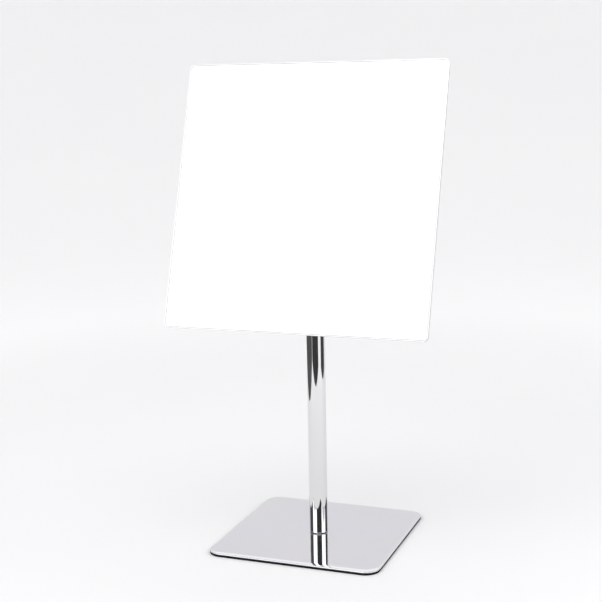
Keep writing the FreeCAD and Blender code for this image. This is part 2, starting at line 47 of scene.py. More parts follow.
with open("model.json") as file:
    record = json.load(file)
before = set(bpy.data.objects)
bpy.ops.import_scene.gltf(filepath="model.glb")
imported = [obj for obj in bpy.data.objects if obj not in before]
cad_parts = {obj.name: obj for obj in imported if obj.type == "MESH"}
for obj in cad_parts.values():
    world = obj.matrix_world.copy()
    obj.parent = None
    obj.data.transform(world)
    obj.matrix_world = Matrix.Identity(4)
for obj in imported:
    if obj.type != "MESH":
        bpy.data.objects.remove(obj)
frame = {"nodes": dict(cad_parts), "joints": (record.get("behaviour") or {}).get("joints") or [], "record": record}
cad_low, cad_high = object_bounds()
MM = 0.001


# ---------------------------------------------------------------- places read from the frame
face_mount = next(m for m in frame["record"]["mounts"] if m["name"] == "sign_face")
tilt_joint = next(j for j in frame["joints"] if j["name"] == "panel_tilt")
face_normal = Vector(face_mount["axis"]).normalized()
pivot = Vector(tilt_joint["pos_m"])
across = Vector((1, 0, 0))
panel_up = across.cross(-face_normal).normalized()
# Columns: the panel's own x (across), y (towards its back) and z (up its face), about the tilt axis.
panel_frame = Matrix.Translation(pivot) @ Matrix((across, -face_normal, panel_up)).transposed().to_4x4()
UPRIGHT = Matrix.Identity(4)


def box_in(node, place):
    """Lowest and highest corner of a CAD node in the given frame."""
    into = place.inverted()
    points = [into @ v.co for v in frame["nodes"][node].data.vertices]
    low = Vector(min(p[i] for p in points) for i in range(3))
    high = Vector(max(p[i] for p in points) for i in range(3))
    return low, high


# ---------------------------------------------------------------- mesh helpers
def new_piece(name, body, replaces, slot, material, vertices, faces, place=UPRIGHT):
    """A mesh piece in the row's frame that rides on a body and stands for one CAD node."""
    mesh = bpy.data.meshes.new(name)
    mesh.from_pydata([place @ Vector(v) for v in vertices], [], faces)
    work = bmesh.new()
    work.from_mesh(mesh)
    bmesh.ops.remove_doubles(work, verts=work.verts, dist=1e-7)
    bmesh.ops.recalc_face_normals(work, faces=work.faces)
    work.to_mesh(mesh)
    work.free()
    return finish_piece(mesh, name, body, replaces, material)


SHARP_ANGLE = math.radians(32)


def finish_piece(mesh, name, body, replaces, material):
    """Shade a finished mesh, add it to the scene, hang it on its body and hide the CAD nodes it stands for."""
    for polygon in mesh.polygons:
        polygon.use_smooth = True
    mesh.set_sharp_from_angle(angle=SHARP_ANGLE)
    mesh.materials.append(material)
    piece = bpy.data.objects.new(name, mesh)
    bpy.context.scene.collection.objects.link(piece)
    flat = piece.modifiers.new("flat_faces", "WEIGHTED_NORMAL")
    flat.keep_sharp = True
    flat.weight = 100
    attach(piece, body)
    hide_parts(*replaces)
    return piece


def loft(rings, cap_start=True, cap_end=True):
    """Vertices and faces of the skin through rings of equally many points."""
    count = len(rings[0])
    vertices = [point for ring in rings for point in ring]
    faces = []
    for r in range(len(rings) - 1):
        low, high = r * count, (r + 1) * count
        for i in range(count):
            after = (i + 1) % count
            faces.append((low + i, low + after, high + after, high + i))
    if cap_start:
        faces.append(tuple(reversed(range(count))))
    if cap_end:
        last = (len(rings) - 1) * count
        faces.append(tuple(last + i for i in range(count)))
    return vertices, faces


def joined(*parts):
    """Several (vertices, faces) pairs as one."""
    vertices, faces = [], []
    for more_vertices, more_faces in parts:
        shift = len(vertices)
        vertices += list(more_vertices)
        faces += [tuple(i + shift for i in face) for face in more_faces]
    return vertices, faces


def rounded_path(points, radii, steps=5):
    """An open path of 2D points whose inner corners are rounded by the given radii."""
    path = [Vector(points[0])]
    for i in range(1, len(points) - 1):
        before, corner, after = (Vector(points[i + k]) for k in (-1, 0, 1))
        radius = radii[i] if isinstance(radii, (list, tuple)) else radii
        into, out = (before - corner).normalized(), (after - corner).normalized()
        half = into.angle(out) / 2
        reach = radius / math.tan(half) if radius else 0
        if reach < 1e-9 or half > math.pi / 2 - 1e-3:
            path.append(corner)
            continue
        centre = corner + (into + out).normalized() * radius / math.sin(half)
        start, end = corner + into * reach - centre, corner + out * reach - centre
        turn = start.angle_signed(end)
        for k in range(steps + 1):
            # angle_signed is clockwise-positive, and so is the rotation below.
            angle = -turn * k / steps
            c, s = math.cos(angle), math.sin(angle)
            path.append(centre + Vector((start.x * c - start.y * s, start.x * s + start.y * c)))
    path.append(Vector(points[-1]))
    return path


def turned_rings(path, axis_place, segments):
    """Rings about the local z axis from a path of (radius, height)."""
    rings = []
    for radius, height in path:
        ring = []
        for i in range(segments):
            angle = math.tau * i / segments
            ring.append(axis_place @ Vector((radius * math.cos(angle), radius * math.sin(angle), height)))
        rings.append(ring)
    return rings


def lathe(path, axis_place=UPRIGHT, segments=96, closed=False):
    """A turned skin. A closed path makes a ring with a hole, and an open one gets capped ends."""
    rings = turned_rings(path, axis_place, segments)
    if not closed:
        return loft(rings)
    vertices, faces = loft(rings, False, False)
    count, last = segments, (len(rings) - 1) * segments
    for i in range(count):
        after = (i + 1) % count
        faces.append((last + i, last + after, after, i))
    return vertices, faces


def square_ring(half, corner, height, steps=10):
    """A rounded square of points at the given height."""
    ring = []
    for quarter in range(4):
        middle = math.pi / 2 * quarter + math.pi / 4
        cx = math.copysign(half - corner, math.cos(middle))
        cy = math.copysign(half - corner, math.sin(middle))
        for k in range(steps + 1):
            angle = math.pi / 2 * (quarter + k / steps)
            ring.append(Vector((cx + corner * math.cos(angle), cy + corner * math.sin(angle), height)))
    return ring


def square_rings(half, corner, path, steps=10):
    """Rounded squares from a path of (inset, height)."""
    return [square_ring(half - inset, corner - inset, height, steps) for inset, height in path]


# ---------------------------------------------------------------- materials
def new_material(name, colour, metallic, roughness):
    material = bpy.data.materials.new(name)
    material.use_nodes = True
    shader = material.node_tree.nodes["Principled BSDF"]
    shader.inputs["Base Color"].default_value = (*colour, 1)
    shader.inputs["Metallic"].default_value = metallic
    shader.inputs["Roughness"].default_value = roughness
    return material, material.node_tree, shader


def add_node(tree, kind, **values):
    """A node with its inputs or properties set by name."""
    node = tree.nodes.new(kind)
    for key, value in values.items():
        if key in node.inputs:
            node.inputs[key].default_value = value
        else:
            setattr(node, key, value)
    return node


def object_coordinates(tree, scale=(1, 1, 1), rotation=(0, 0, 0)):
    coordinates = add_node(tree, "ShaderNodeTexCoord")
    mapping = add_node(tree, "ShaderNodeMapping", Scale=scale, Rotation=rotation)
    tree.links.new(coordinates.outputs["Object"], mapping.inputs["Vector"])
    return mapping.outputs["Vector"]


def add_noise(tree, vector, scale, detail=3.0, roughness=0.5):
    noise = add_node(tree, "ShaderNodeTexNoise", Scale=scale, Detail=detail, Roughness=roughness)
    tree.links.new(vector, noise.inputs["Vector"])
    return noise.outputs["Fac"]


def ramp(tree, value, low, high, start=0.3, end=0.7):
    """Map a value onto a range of numbers."""
    node = add_node(tree, "ShaderNodeMapRange")
    for key, number in (("From Min", start), ("From Max", end), ("To Min", low), ("To Max", high)):
        node.inputs[key].default_value = number
    tree.links.new(value, node.inputs["Value"])
    return node.outputs["Result"]


def mix_colours(tree, value, first, second):
    node = add_node(tree, "ShaderNodeMix", data_type="RGBA")
    node.inputs[6].default_value = (*first, 1)
    node.inputs[7].default_value = (*second, 1)
    tree.links.new(value, node.inputs["Factor"])
    return node.outputs[2]


def add_bump(tree, shader, height, distance, strength=1.0):
    bump = add_node(tree, "ShaderNodeBump", Strength=strength, Distance=distance)
    tree.links.new(height, bump.inputs["Height"])
    tree.links.new(bump.outputs["Normal"], shader.inputs["Normal"])


def polished_chrome(name, cool, warm):
    """Mirror plating with faint warm and cool patches and wiping marks."""
    material, tree, shader = new_material(name, cool, 1.0, 0.03)
    place = object_coordinates(tree)
    patches = add_noise(tree, place, 14.0, 1.0)
    tint = mix_colours(tree, ramp(tree, patches, 0, 1), cool, warm)
    tree.links.new(tint, shader.inputs["Base Color"])
    wiping = add_noise(tree, object_coordinates(tree, (9, 60, 60)), 6.0, 4.0, 0.6)
    tree.links.new(ramp(tree, wiping, 0.018, 0.045), shader.inputs["Roughness"])
    return material


def satin_zinc():
    """Zinc plating: dull, a little blue, with fine spangle."""
    material, tree, shader = new_material("satin_zinc", (0.55, 0.56, 0.58), 1.0, 0.38)
    place = object_coordinates(tree)
    spangle = add_noise(tree, place, 900.0, 2.0)
    tint = mix_colours(tree, ramp(tree, spangle, 0, 1), (0.50, 0.52, 0.55), (0.62, 0.62, 0.61))
    tree.links.new(tint, shader.inputs["Base Color"])
    tree.links.new(ramp(tree, add_noise(tree, place, 350.0), 0.30, 0.46), shader.inputs["Roughness"])
    add_bump(tree, shader, spangle, 0.00001, 0.4)
    return material


def brushed_steel():
    """Stainless sheet brushed across, with long fine scratches."""
    material, tree, shader = new_material("brushed_steel", (0.62, 0.62, 0.63), 1.0, 0.3)
    grain = add_noise(tree, object_coordinates(tree, (6, 1400, 1400)), 1.0, 4.0, 0.7)
    cloud = add_noise(tree, object_coordinates(tree), 22.0, 2.0)
    tint = mix_colours(tree, ramp(tree, grain, 0, 1), (0.55, 0.55, 0.56), (0.70, 0.70, 0.705))
    tree.links.new(tint, shader.inputs["Base Color"])
    blend = add_node(tree, "ShaderNodeMath", operation="ADD")
    tree.links.new(ramp(tree, grain, 0.20, 0.32), blend.inputs[0])
    tree.links.new(ramp(tree, cloud, 0.0, 0.06), blend.inputs[1])
    tree.links.new(blend.outputs["Value"], shader.inputs["Roughness"])
    shader.inputs["Anisotropic"].default_value = 0.6
    add_bump(tree, shader, grain, 0.000012, 0.5)
    return material


def bright_steel():
    """The tray's rim: the same sheet, buffed bright along its edge, with faint marks along the brushing."""
    material, tree, shader = new_material("bright_rim", (0.66, 0.66, 0.665), 1.0, 0.12)
    grain = add_noise(tree, object_coordinates(tree, (30, 900, 900)), 1.0, 3.0, 0.6)
    tint = mix_colours(tree, ramp(tree, grain, 0, 1), (0.60, 0.60, 0.605), (0.70, 0.70, 0.70))
    tree.links.new(tint, shader.inputs["Base Color"])
    tree.links.new(ramp(tree, grain, 0.08, 0.16), shader.inputs["Roughness"])
    add_bump(tree, shader, grain, 0.000004, 0.3)
    return material


def white_face():
    """Opal white glossy sheet with a faint mould ripple."""
    material, tree, shader = new_material("white_face", (0.93, 0.93, 0.93), 0.0, 0.16)
    place = object_coordinates(tree)
    cloud = add_noise(tree, place, 9.0, 2.0)
    tint = mix_colours(tree, ramp(tree, cloud, 0, 1), (0.925, 0.927, 0.93), (0.935, 0.935, 0.933))
    tree.links.new(tint, shader.inputs["Base Color"])
    tree.links.new(ramp(tree, add_noise(tree, place, 60.0), 0.13, 0.19), shader.inputs["Roughness"])
    shader.inputs["Coat Weight"].default_value = 0.4
    shader.inputs["Coat Roughness"].default_value = 0.05
    add_bump(tree, shader, add_noise(tree, place, 160.0), 0.00001, 0.3)
    return material


def black_pad():
    """Closed-cell foam rubber: near black, matte, with fine cells."""
    material, tree, shader = new_material("black_pad", (0.006, 0.006, 0.007), 0.0, 0.9)
    cells = add_node(tree, "ShaderNodeTexVoronoi", Scale=2600.0)
    tree.links.new(object_coordinates(tree), cells.inputs["Vector"])
    tint = mix_colours(tree, cells.outputs["Distance"], (0.003, 0.003, 0.004), (0.011, 0.011, 0.012))
    tree.links.new(tint, shader.inputs["Base Color"])
    tree.links.new(ramp(tree, cells.outputs["Distance"], 0.75, 0.95, 0, 1), shader.inputs["Roughness"])
    shader.inputs["Specular IOR Level"].default_value = 0.15
    add_bump(tree, shader, cells.outputs["Distance"], 0.00008, 0.6)
    return material


def nylon(name, colour, shade):
    """Machined nylon: soft sheen, fine turning marks."""
    material, tree, shader = new_material(name, colour, 0.0, 0.5)
    place = object_coordinates(tree)
    grain = add_noise(tree, place, 700.0, 3.0)
    tree.links.new(mix_colours(tree, ramp(tree, grain, 0, 1), shade, colour), shader.inputs["Base Color"])
    tree.links.new(ramp(tree, grain, 0.42, 0.58), shader.inputs["Roughness"])
    add_bump(tree, shader, grain, 0.00002, 0.4)
    return material


def turned_brass():
    """Brass with fine turning rings."""
    material, tree, shader = new_material("turned_brass", (0.76, 0.55, 0.25), 1.0, 0.25)
    rings = add_noise(tree, object_coordinates(tree, (40, 40, 9000)), 1.0, 2.0)
    tint = mix_colours(tree, ramp(tree, rings, 0, 1), (0.66, 0.46, 0.19), (0.80, 0.60, 0.30))
    tree.links.new(tint, shader.inputs["Base Color"])
    tree.links.new(ramp(tree, rings, 0.18, 0.34), shader.inputs["Roughness"])
    add_bump(tree, shader, rings, 0.00001, 0.5)
    return material


chrome = polished_chrome("polished_chrome", (0.735, 0.740, 0.785), (0.755, 0.738, 0.760))
tube_chrome = polished_chrome("tube_chrome", (0.750, 0.755, 0.765), (0.765, 0.757, 0.755))
zinc = satin_zinc()
steel = brushed_steel()
bright_rim = bright_steel()
white = white_face()
pad_foam = black_pad()
black_nylon = nylon("black_nylon", (0.020, 0.020, 0.022), (0.010, 0.010, 0.011))
white_nylon = nylon("white_nylon", (0.80, 0.79, 0.74), (0.70, 0.69, 0.63))
tape_foam = nylon("tape_foam", (0.78, 0.78, 0.75), (0.66, 0.66, 0.63))
brass = turned_brass()

HIDDEN_NODES = {
    "base_stud": zinc, "bracket_studs": zinc, "swivel_ring": zinc, "swivel_spring": zinc,
    "post_foot_plug": brass, "mounting_tape": tape_foam,
}
for node in frame["nodes"].values():
    node.data.materials.clear()
    node.data.materials.append(HIDDEN_NODES.get(node.name, zinc))


# ---------------------------------------------------------------- stand
CROWN_WIDTH = 5 * MM
CROWN_LAND = 0.1 * MM
CROWN_NOSE = 0.7 * MM
BASE_CORNER = 11 * MM
BASE_CORNER_STEPS = 16
CROWN_STEPS = 14


def crown_path(low, high):
    """(inset, height) from the lower rim, over the nose and the long crown, to the flat top."""
    rise = high - low - CROWN_LAND
    span = CROWN_WIDTH - CROWN_NOSE
    crown = (span ** 2 + rise ** 2 - CROWN_NOSE ** 2) / (2 * (rise - CROWN_NOSE))
    tilt = math.asin(span / (crown - CROWN_NOSE))
    path = [(0, low), (0, low + CROWN_LAND)]
    for k in range(1, CROWN_STEPS + 1):
        angle = math.pi / 2 + (tilt - math.pi / 2) * k / CROWN_STEPS
        path.append((CROWN_NOSE * (1 - math.sin(angle)), low + CROWN_LAND + CROWN_NOSE * math.cos(angle)))
    for k in range(1, CROWN_STEPS + 1):
        angle = tilt * (1 - k / CROWN_STEPS)
        path.append((CROWN_WIDTH - crown * math.sin(angle), high - crown * (1 - math.cos(angle))))
    return path


def base_plate():
    """The polished plate, its rim curving down all round."""
    low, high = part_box("base_plate")
    path = crown_path(low.z, high.z)
    rings = square_rings(high.x, BASE_CORNER, path, BASE_CORNER_STEPS)
    new_piece("base_plate_shell", "stand", ["base_plate"], "polished_chrome", chrome, *loft(rings))


PAD_EDGE = 0.25 * MM


def base_pad():
    """The foam pad, its lower rim broken a little more than its upper one."""
    low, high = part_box("base_pad")
    path = [(PAD_EDGE, low.z), (0, low.z + PAD_EDGE), (0, high.z - PAD_EDGE / 2), (PAD_EDGE / 2, high.z)]
    rings = square_rings(high.x, BASE_CORNER, path, BASE_CORNER_STEPS)
    new_piece("base_pad_sheet", "stand", ["base_pad"], "black_pad", pad_foam, *loft(rings))


POST_WALL = 1.2 * MM
FOOT_ROUND = 0.8 * MM
FINE_ROUND = 0.12 * MM
SEAT_INNER = 5.4 * MM
STEM_BORE = 4.05 * MM


def closed_path(points, radii):
    """A closed outline of (radius, height) with rounded corners; the first point lies on a straight side."""
    return rounded_path(points + points[:1], [0] + list(radii) + [0])[:-1]


def turned_ring(node, body, slot, material, inner, foot_round=FINE_ROUND):
    """A ring about the post's axis that fills a CAD node's height and outer radius."""
    low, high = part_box(node)
    outer = high.x
    points = [((inner + outer) / 2, low.z), (outer, low.z), (outer, high.z), (inner, high.z), (inner, low.z)]
    path = closed_path(points, [foot_round, FINE_ROUND, FINE_ROUND, FINE_ROUND])
    new_piece(f"{node}_turned", body, [node], slot, material, *lathe(path, segments=160, closed=True))


def top_bush():
    """The bush in the post's upper end: a sleeve, and the flange that shows as a thin ring."""
    low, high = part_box("post_top_bush")
    flange_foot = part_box("post_tube")[1].z
    sleeve, flange = high.x - POST_WALL, high.x
    points = [
        ((STEM_BORE + sleeve) / 2, low.z), (sleeve, low.z), (sleeve, flange_foot),
        (flange, flange_foot), (flange, high.z), (STEM_BORE, high.z), (STEM_BORE, low.z),
    ]
    path = closed_path(points, [FINE_ROUND * 3, 0, FINE_ROUND, FINE_ROUND, FINE_ROUND, FINE_ROUND])
    shape = lathe(path, segments=128, closed=True)
    new_piece("post_top_bush_turned", "stand", ["post_top_bush"], "brass_insert", brass, *shape)


base_plate()
base_pad()
post_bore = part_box("post_tube")[1].x - POST_WALL
turned_ring("post_tube", "stand", "polished_chrome", tube_chrome, post_bore, FOOT_ROUND)
turned_ring("post_seat_washer", "stand", "black_nylon", black_nylon, SEAT_INNER)
turned_ring("swivel_washer", "stand", "white_nylon", white_nylon, STEM_BORE)
top_bush()


# ---------------------------------------------------------------- head
# Local z runs along the tilt axis, towards +X.
ALONG_AXLE = Matrix.Translation(pivot) @ Matrix.Rotation(math.pi / 2, 4, "Y")
HEXAGON_STEPS = 16


def hexagon_reach(angle, width):
    """Distance from a hexagon's middle to its side at the given angle."""
    return width / 2 / math.cos(angle % (math.pi / 3) - math.pi / 6)


def shaped_ring(height, reach_at, place=UPRIGHT):
    """A ring at one height whose distance from the axis is a function of the angle."""
    count = 6 * HEXAGON_STEPS
    angles = [math.tau * i / count for i in range(count)]
    return [place @ Vector((reach_at(a) * math.cos(a), reach_at(a) * math.sin(a), height)) for a in angles]


CHAMFER_SLOPE = 0.55
NUT_FOOT_SHARE = 0.97
DOME_FOOT_SHARE = 1.04
DOME_TIP_SHARE = 0.02
HEXAGON_LIFTS = 8
DOME_STEPS = 13


def domed_nut(foot, hexagon_top, dome_top, width, dome_radius, place):
    """A closed nut: a hexagon with turned chamfers at both ends, and a round dome."""
    def hexagon(height, end):
        """The hexagon at a height, cut back near the end that lies at the given height."""
        limit = width / 2 + abs(height - end) / CHAMFER_SLOPE
        return shaped_ring(height, lambda a: min(hexagon_reach(a, width), limit), place)

    middle = (foot + hexagon_top) / 2
    rings = [shaped_ring(foot, lambda a: width / 2 * NUT_FOOT_SHARE, place)]
    for k in range(HEXAGON_LIFTS + 1):
        rings.append(hexagon(foot + (middle - foot) * k / HEXAGON_LIFTS, foot))
    for k in range(1, HEXAGON_LIFTS + 1):
        rings.append(hexagon(middle + (hexagon_top - middle) * k / HEXAGON_LIFTS, hexagon_top))
    rings.append(shaped_ring(hexagon_top, lambda a: dome_radius * DOME_FOOT_SHARE, place))
    rise = dome_top - hexagon_top
    for k in range(DOME_STEPS):
        tip = math.pi / 2 * k / DOME_STEPS
        reach = dome_radius * math.cos(tip)
        rings.append(shaped_ring(hexagon_top + rise * math.sin(tip), lambda a, reach=reach: reach, place))
    rings.append(shaped_ring(dome_top, lambda a: dome_radius * DOME_TIP_SHARE, place))
    return loft(rings)


TILT_NUT_WIDTH = 7 * MM
TILT_DOME = 2.9 * MM


def tilt_nut():
    """The nut points along -X, so its heights run down its local axis."""
    low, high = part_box("tilt_nut")
    facing = ALONG_AXLE @ Matrix.Rotation(math.pi, 4, "X")
    foot, top = -high.x, -low.x
    shape = domed_nut(foot, top - TILT_DOME, top, TILT_NUT_WIDTH, TILT_DOME, facing)
    new_piece("tilt_nut_domed", "head", ["tilt_nut"], "polished_chrome", chrome, *shape)


SCREW_SHANK = 2 * MM
SCREW_HEAD_THICK = 2 * MM
SCREW_HEAD_ROUND = 0.45 * MM
SCREW_TIP = 0.5 * MM
SCREW_TIP_SHARE = 0.75
SOCKET_WIDTH = 2.5 * MM
SOCKET_DEPTH = 1.3 * MM
SOCKET_CHAMFER = 0.12 * MM
SOCKET_MOUTH_SHARE = 1.08
SOCKET_FLOOR_SHARE = 0.05


def tilt_screw():
    """Low round head with a hexagon socket, and the shank through both ears."""
    low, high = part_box("tilt_screw")
    head, seat, end = high.z - pivot.z, high.x - SCREW_HEAD_THICK, high.x
    outline = [(SCREW_SHANK, seat), (head, seat), (head, end), (SOCKET_WIDTH, end)]
    edge = rounded_path(outline, [0, FINE_ROUND, SCREW_HEAD_ROUND, 0], 6)
    rings = [shaped_ring(low.x, lambda a: SCREW_SHANK * SCREW_TIP_SHARE, ALONG_AXLE)]
    rings.append(shaped_ring(low.x + SCREW_TIP, lambda a: SCREW_SHANK, ALONG_AXLE))
    for reach, height in edge:
        rings.append(shaped_ring(height, lambda a, reach=reach: reach, ALONG_AXLE))
    socket = [
        (SOCKET_MOUTH_SHARE, end), (1, end - SOCKET_CHAMFER),
        (1, end - SOCKET_DEPTH), (SOCKET_FLOOR_SHARE, end - SOCKET_DEPTH),
    ]
    for share, height in socket:
        rings.append(shaped_ring(height, lambda a, w=SOCKET_WIDTH * share: hexagon_reach(a, w), ALONG_AXLE))
    new_piece("tilt_screw_socket", "head", ["tilt_screw"], "polished_chrome", chrome, *loft(rings))


def section_sweep(section, place, first, last, steps=72):
    """A section of (radius, height) swept round the local z axis by less than a full turn, with capped ends."""
    rings = []
    for k in range(steps + 1):
        angle = math.radians(first + (last - first) * k / steps)
        c, s = math.cos(angle), math.sin(angle)
        rings.append([place @ Vector((r * c, r * s, h)) for r, h in section])
    return loft(rings)


def washer_section(inner, outer, low, high):
    points = [((inner + outer) / 2, low), (outer, low), (outer, high), (inner, high), (inner, low)]
    return closed_path(points, [FINE_ROUND] * 4)


LOCK_SPLIT = 90
LOCK_HALF_GAP = 7


def tilt_lock_washer():
    """Spring washer: a split ring of square wire."""
    low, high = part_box("tilt_lock_washer")
    section = washer_section(SCREW_SHANK, high.z - pivot.z, low.x, high.x)
    first, last = LOCK_SPLIT + LOCK_HALF_GAP, LOCK_SPLIT + 360 - LOCK_HALF_GAP
    shape = section_sweep(section, ALONG_AXLE, first, last)
    new_piece("tilt_lock_washer_split", "head", ["tilt_lock_washer"], "zinc_plated_steel", zinc, *shape)


TONGUE_WIDTH = 5 * MM


def tilt_washers():
    """Two friction washers, one on each side of the bracket's tongue."""
    low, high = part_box("tilt_washers")
    tongue = TONGUE_WIDTH / 2
    radius = high.z - pivot.z
    rings = []
    for near, far in ((tongue, high.x), (low.x, -tongue)):
        section = washer_section(SCREW_SHANK, radius, near, far)
        rings.append(lathe(section, ALONG_AXLE, 72, closed=True))
    new_piece("tilt_washers_turned", "head", ["tilt_washers"], "white_nylon", white_nylon, *joined(*rings))


STEM_RADIUS = 4 * MM
STEM_ROUND = 0.4 * MM
AXIS_HOLE = 0.1 * MM
SLOT_WIDTH = 6.2 * MM
SLOT_DEPTH = 8.5 * MM
SPOT_FACE = 5.7 * MM
SPOT_RADIUS = 4.7 * MM
SPOT_ROUND = 0.25 * MM
EAR_EDGE = 0.3 * MM
EAR_STEPS = 96
# Rings across an ear, as shares of its outline: close together where its flat runs out.
EAR_SHARES = [0.05, 0.3, 0.5, 0.62, 0.66, 0.68, 0.70, 0.74, 0.8, 0.86, 0.92, 0.96, 1.0]


def ear_reach(y, z, head):
    """How far an ear's outside stands from the middle: the turned wall, sunk to a flat round the screw."""
    wall = math.sqrt(max(head ** 2 - y ** 2, 0))
    flat = min(wall, SPOT_FACE)
    away = (math.hypot(y, z) - SPOT_RADIUS) / SPOT_ROUND
    return flat + (wall - flat) * min(max(away, 0), 1)


def ear_rim(angle, head):
    """Distance from the tilt axis to an ear's outline: round above it, the turned wall's width below."""
    y, z = math.cos(angle), math.sin(angle)
    widest = math.sqrt(head ** 2 - (SLOT_WIDTH / 2) ** 2)
    flank = widest / max(abs(y), 1e-9)
    if z >= 0:
        return min(head, flank)
    return min(flank, SLOT_DEPTH / max(-z, 1e-9))


def ear(head, way):
    """One ear above the slot's floor, as rings about the tilt axis from the slot's side to the outside."""
    inner = SLOT_WIDTH / 2

    def ring(share, outside):
        points = []
        for i in range(EAR_STEPS):
            angle = math.tau * i / EAR_STEPS
            reach = ear_rim(angle, head) * share
            y, z = reach * math.cos(angle), reach * math.sin(angle)
            x = inner
            if outside:
                broken = EAR_EDGE / 2 if share == 1 else 0
                x = max(ear_reach(y, z, head) - broken, inner + EAR_EDGE / 4)
            points.append(Vector((x * way, y, z)))
        return points

    rings = [ring(share, False) for share in EAR_SHARES]
    rings += [ring(share, True) for share in reversed(EAR_SHARES)]
    return loft(rings)


def clevis():
    """Turned head: the stem inside the bush, the drum, and two ears with a flat round the screw."""
    low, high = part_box("head_clevis")
    head = high.x
    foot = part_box("swivel_washer")[1].z
    floor = pivot.z - SLOT_DEPTH
    points = [
        (AXIS_HOLE, low.z), (STEM_RADIUS, low.z), (STEM_RADIUS, foot),
        (head, foot), (head, floor), (AXIS_HOLE, floor),
    ]
    drum = lathe(rounded_path(points, [0, STEM_ROUND, 0, FINE_ROUND, 0, 0]), segments=160)
    ears = [ear(head, way) for way in (1, -1)]
    ears = [([Matrix.Translation(pivot) @ v for v in vertices], faces) for vertices, faces in ears]
    new_piece("head_clevis_turned", "head", ["head_clevis"], "polished_chrome", chrome, *joined(drum, *ears))


clevis()
tilt_nut()
tilt_screw()
tilt_lock_washer()
tilt_washers()


# ---------------------------------------------------------------- panel
FACE_CORNER = 3.1 * MM
TRAY_CORNER = 4 * MM
TRAY_SHEET = 0.8 * MM
TRAY_BEND = 1.6 * MM
FACE_ROUND = 0.25 * MM
# Turns a square's own height axis so that it points out of the panel's back.
TO_BACK = panel_frame @ Matrix.Rotation(-math.pi / 2, 4, "X")


def face():
    """The white sheet inside the tray's rim, with softly rounded edges."""
    low, high = box_in("face_panel", TO_BACK)
    flat = FACE_ROUND * 4
    path = rounded_path([(flat, low.z), (0, low.z), (0, high.z), (flat, high.z)], FACE_ROUND)
    rings = square_rings(high.x, FACE_CORNER, path)
    new_piece("face_sheet", "panel", ["face_panel"], "white_face", white, *loft(rings), place=TO_BACK)


def tray():
    """A shallow pan with bent walls whose rim frames the face, bright along its edge."""
    low, high = box_in("back_tray", TO_BACK)
    back, front = high.z, low.z
    floor = back - TRAY_SHEET
    flat = TRAY_BEND * 1.5
    points = [(flat, back), (0, back), (0, front), (TRAY_SHEET, front), (TRAY_SHEET, floor), (flat, floor)]
    path = rounded_path(points, [0, TRAY_BEND, FINE_ROUND * 2, FINE_ROUND * 2, FINE_ROUND, 0], 8)
    shape = loft(square_rings(high.x, TRAY_CORNER, path))
    piece = new_piece("back_tray_shell", "panel", ["back_tray"], "brushed_tray", steel, *shape, place=TO_BACK)
    piece.data.materials.append(bright_rim)
    into = TO_BACK.inverted()
    for polygon in piece.data.polygons:
        if (into @ polygon.center).z < back - TRAY_BEND:
            polygon.material_index = 1


FLANGE_THICK = 2.4 * MM
FLANGE_CORNER = 6 * MM
TONGUE_RADIUS = 5 * MM
TONGUE_ROOT = 9 * MM
TONGUE_STEPS = 24
FLANGE_ROUND = 0.35 * MM
CAP_WIDTH = 5.5 * MM
CAP_DOME = 2.3 * MM
FIXING_PITCH = 33 * MM


def rounded_plate(half, corner, low, high, rounding):
    """A square plate with rounded corners and rounded rims."""
    path = rounded_path([(half / 2, low), (0, low), (0, high), (half / 2, high)], [0, rounding, rounding, 0])
    return loft(square_rings(half, corner, path[1:-1]))


def thick_profile(outline, low, high, rounding):
    """A closed 2D outline made into a plate between two x places, with rounded rims."""
    middle = sum((Vector(p) for p in outline), Vector((0, 0))) / len(outline)
    edge = rounded_path([(rounding * 3, low), (0, low), (0, high), (rounding * 3, high)], rounding)
    rings = []
    for inset, place in edge[1:-1]:
        ring = []
        for point in outline:
            out = (Vector(point) - middle).normalized()
            y, z = Vector(point) - out * inset
            ring.append(Vector((place, y, z)))
        rings.append(ring)
    return loft(rings)


def tongue_outline(foot):
    """The tongue seen along the tilt axis: straight flanks that narrow to a round end about the axis."""
    flank = math.atan2(TONGUE_ROOT - TONGUE_RADIUS, -foot)
    outline = [(foot, TONGUE_ROOT), (foot, -TONGUE_ROOT)]
    for k in range(TONGUE_STEPS + 1):
        angle = -math.pi / 2 - flank + (math.pi + 2 * flank) * k / TONGUE_STEPS
        outline.append((TONGUE_RADIUS * math.cos(angle), TONGUE_RADIUS * math.sin(angle)))
    return outline


def bracket():
    """A stamped flange, and the tongue that stands on it and takes the tilt screw."""
    low, high = box_in("mount_bracket", TO_BACK)
    plate = rounded_plate(high.x, FLANGE_CORNER, low.z, low.z + FLANGE_THICK, FLANGE_ROUND)
    plate = [TO_BACK @ v for v in plate[0]], plate[1]
    half = TONGUE_WIDTH / 2
    tongue = thick_profile(tongue_outline(low.z + FLANGE_THICK / 2), -half, half, FLANGE_ROUND)
    tongue = [panel_frame @ v for v in tongue[0]], tongue[1]
    shape = joined(plate, tongue)
    new_piece("mount_bracket_plate", "panel", ["mount_bracket"], "zinc_plated_steel", zinc, *shape)


def nuts():
    """Four domed nuts behind the bracket's flange."""
    low, high = box_in("bracket_nuts", TO_BACK)
    foot, top = low.z, high.z
    shapes = []
    for x in (-1, 1):
        for y in (-1, 1):
            spot = Matrix.Translation((x * FIXING_PITCH / 2, y * FIXING_PITCH / 2, 0))
            shapes.append(domed_nut(foot, top - CAP_DOME, top, CAP_WIDTH, CAP_DOME, spot))
    piece = joined(*shapes)
    new_piece("bracket_nuts_domed", "panel", ["bracket_nuts"], "polished_chrome", chrome, *piece, place=TO_BACK)


face()
tray()
bracket()
nuts()


